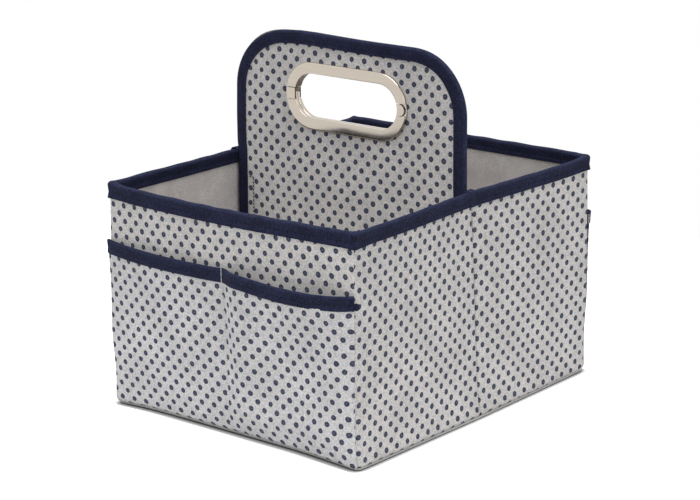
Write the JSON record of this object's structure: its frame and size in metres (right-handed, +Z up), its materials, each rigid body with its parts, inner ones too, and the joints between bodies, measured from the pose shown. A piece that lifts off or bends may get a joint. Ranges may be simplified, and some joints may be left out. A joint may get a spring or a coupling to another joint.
{
  "type": "nursery caddy",
  "caption": "Open cloth caddy with stiffened walls, a tall divider with a metal grip, two compartments with lift-out base inserts, and pockets on both short faces.",
  "frame": {"origin": "midway between the four corners of the bin, on the surface that the caddy stands on", "axes": "+Z up, +Y along the two long sides with a centre seam, +X across the short faces that carry the pockets; the divider stands in the XZ plane"},
  "size_m": [0.2475, 0.3206, 0.284],
  "materials": {
    "dotted_cloth": "matte",
    "navy_binding": "matte",
    "lining_cloth": "matte",
    "underside_cloth": "matte",
    "stiffener_board": "matte",
    "satin_nickel": "satin",
    "white_thread": "satin",
    "navy_thread": "satin"
  },
  "bodies": {
    "caddy": {"front_outer_cover": "dotted_cloth", "back_outer_cover": "dotted_cloth", "left_front_outer_cover": "dotted_cloth", "left_back_outer_cover": "dotted_cloth", "right_front_outer_cover": "dotted_cloth", "right_back_outer_cover": "dotted_cloth", "front_board": "stiffener_board", "back_board": "stiffener_board", "left_front_board": "stiffener_board", "left_back_board": "stiffener_board", "right_front_board": "stiffener_board", "right_back_board": "stiffener_board", "front_lining": "lining_cloth", "back_lining": "lining_cloth", "left_front_lining": "lining_cloth", "left_back_lining": "lining_cloth", "right_front_lining": "lining_cloth", "right_back_lining": "lining_cloth", "front_rim_binding": "navy_binding", "back_rim_binding": "navy_binding", "front_pocket_panel": "dotted_cloth", "back_pocket_panel": "dotted_cloth", "front_pocket_binding": "navy_binding", "back_pocket_binding": "navy_binding", "base_outer_cover": "underside_cloth", "base_lining": "lining_cloth", "divider_board": "stiffener_board", "divider_front_cover": "dotted_cloth", "divider_back_cover": "dotted_cloth", "divider_binding": "navy_binding", "divider_tab_left": "dotted_cloth", "divider_tab_right": "dotted_cloth", "grip_front_upper_frame": "satin_nickel", "grip_front_lower_frame": "satin_nickel", "grip_front_square_block": "satin_nickel", "grip_front_round_block": "satin_nickel", "grip_back_upper_frame": "satin_nickel", "grip_back_lower_frame": "satin_nickel", "grip_back_square_block": "satin_nickel", "grip_back_round_block": "satin_nickel", "grip_rivet_left": "satin_nickel", "grip_rivet_right": "satin_nickel"},
    "front_insert": {"front_insert_board": "stiffener_board", "front_insert_cover": "lining_cloth"},
    "back_insert": {"back_insert_board": "stiffener_board", "back_insert_cover": "lining_cloth"}
  },
  "joints": [
    {"name": "front_insert_lift", "type": "slide", "parent": "caddy", "child": "front_insert", "axis": [0, 0, 1], "range_m": [0, 0.29]},
    {"name": "back_insert_lift", "type": "slide", "parent": "caddy", "child": "back_insert", "axis": [0, 0, 1], "range_m": [0, 0.29]}
  ]
}
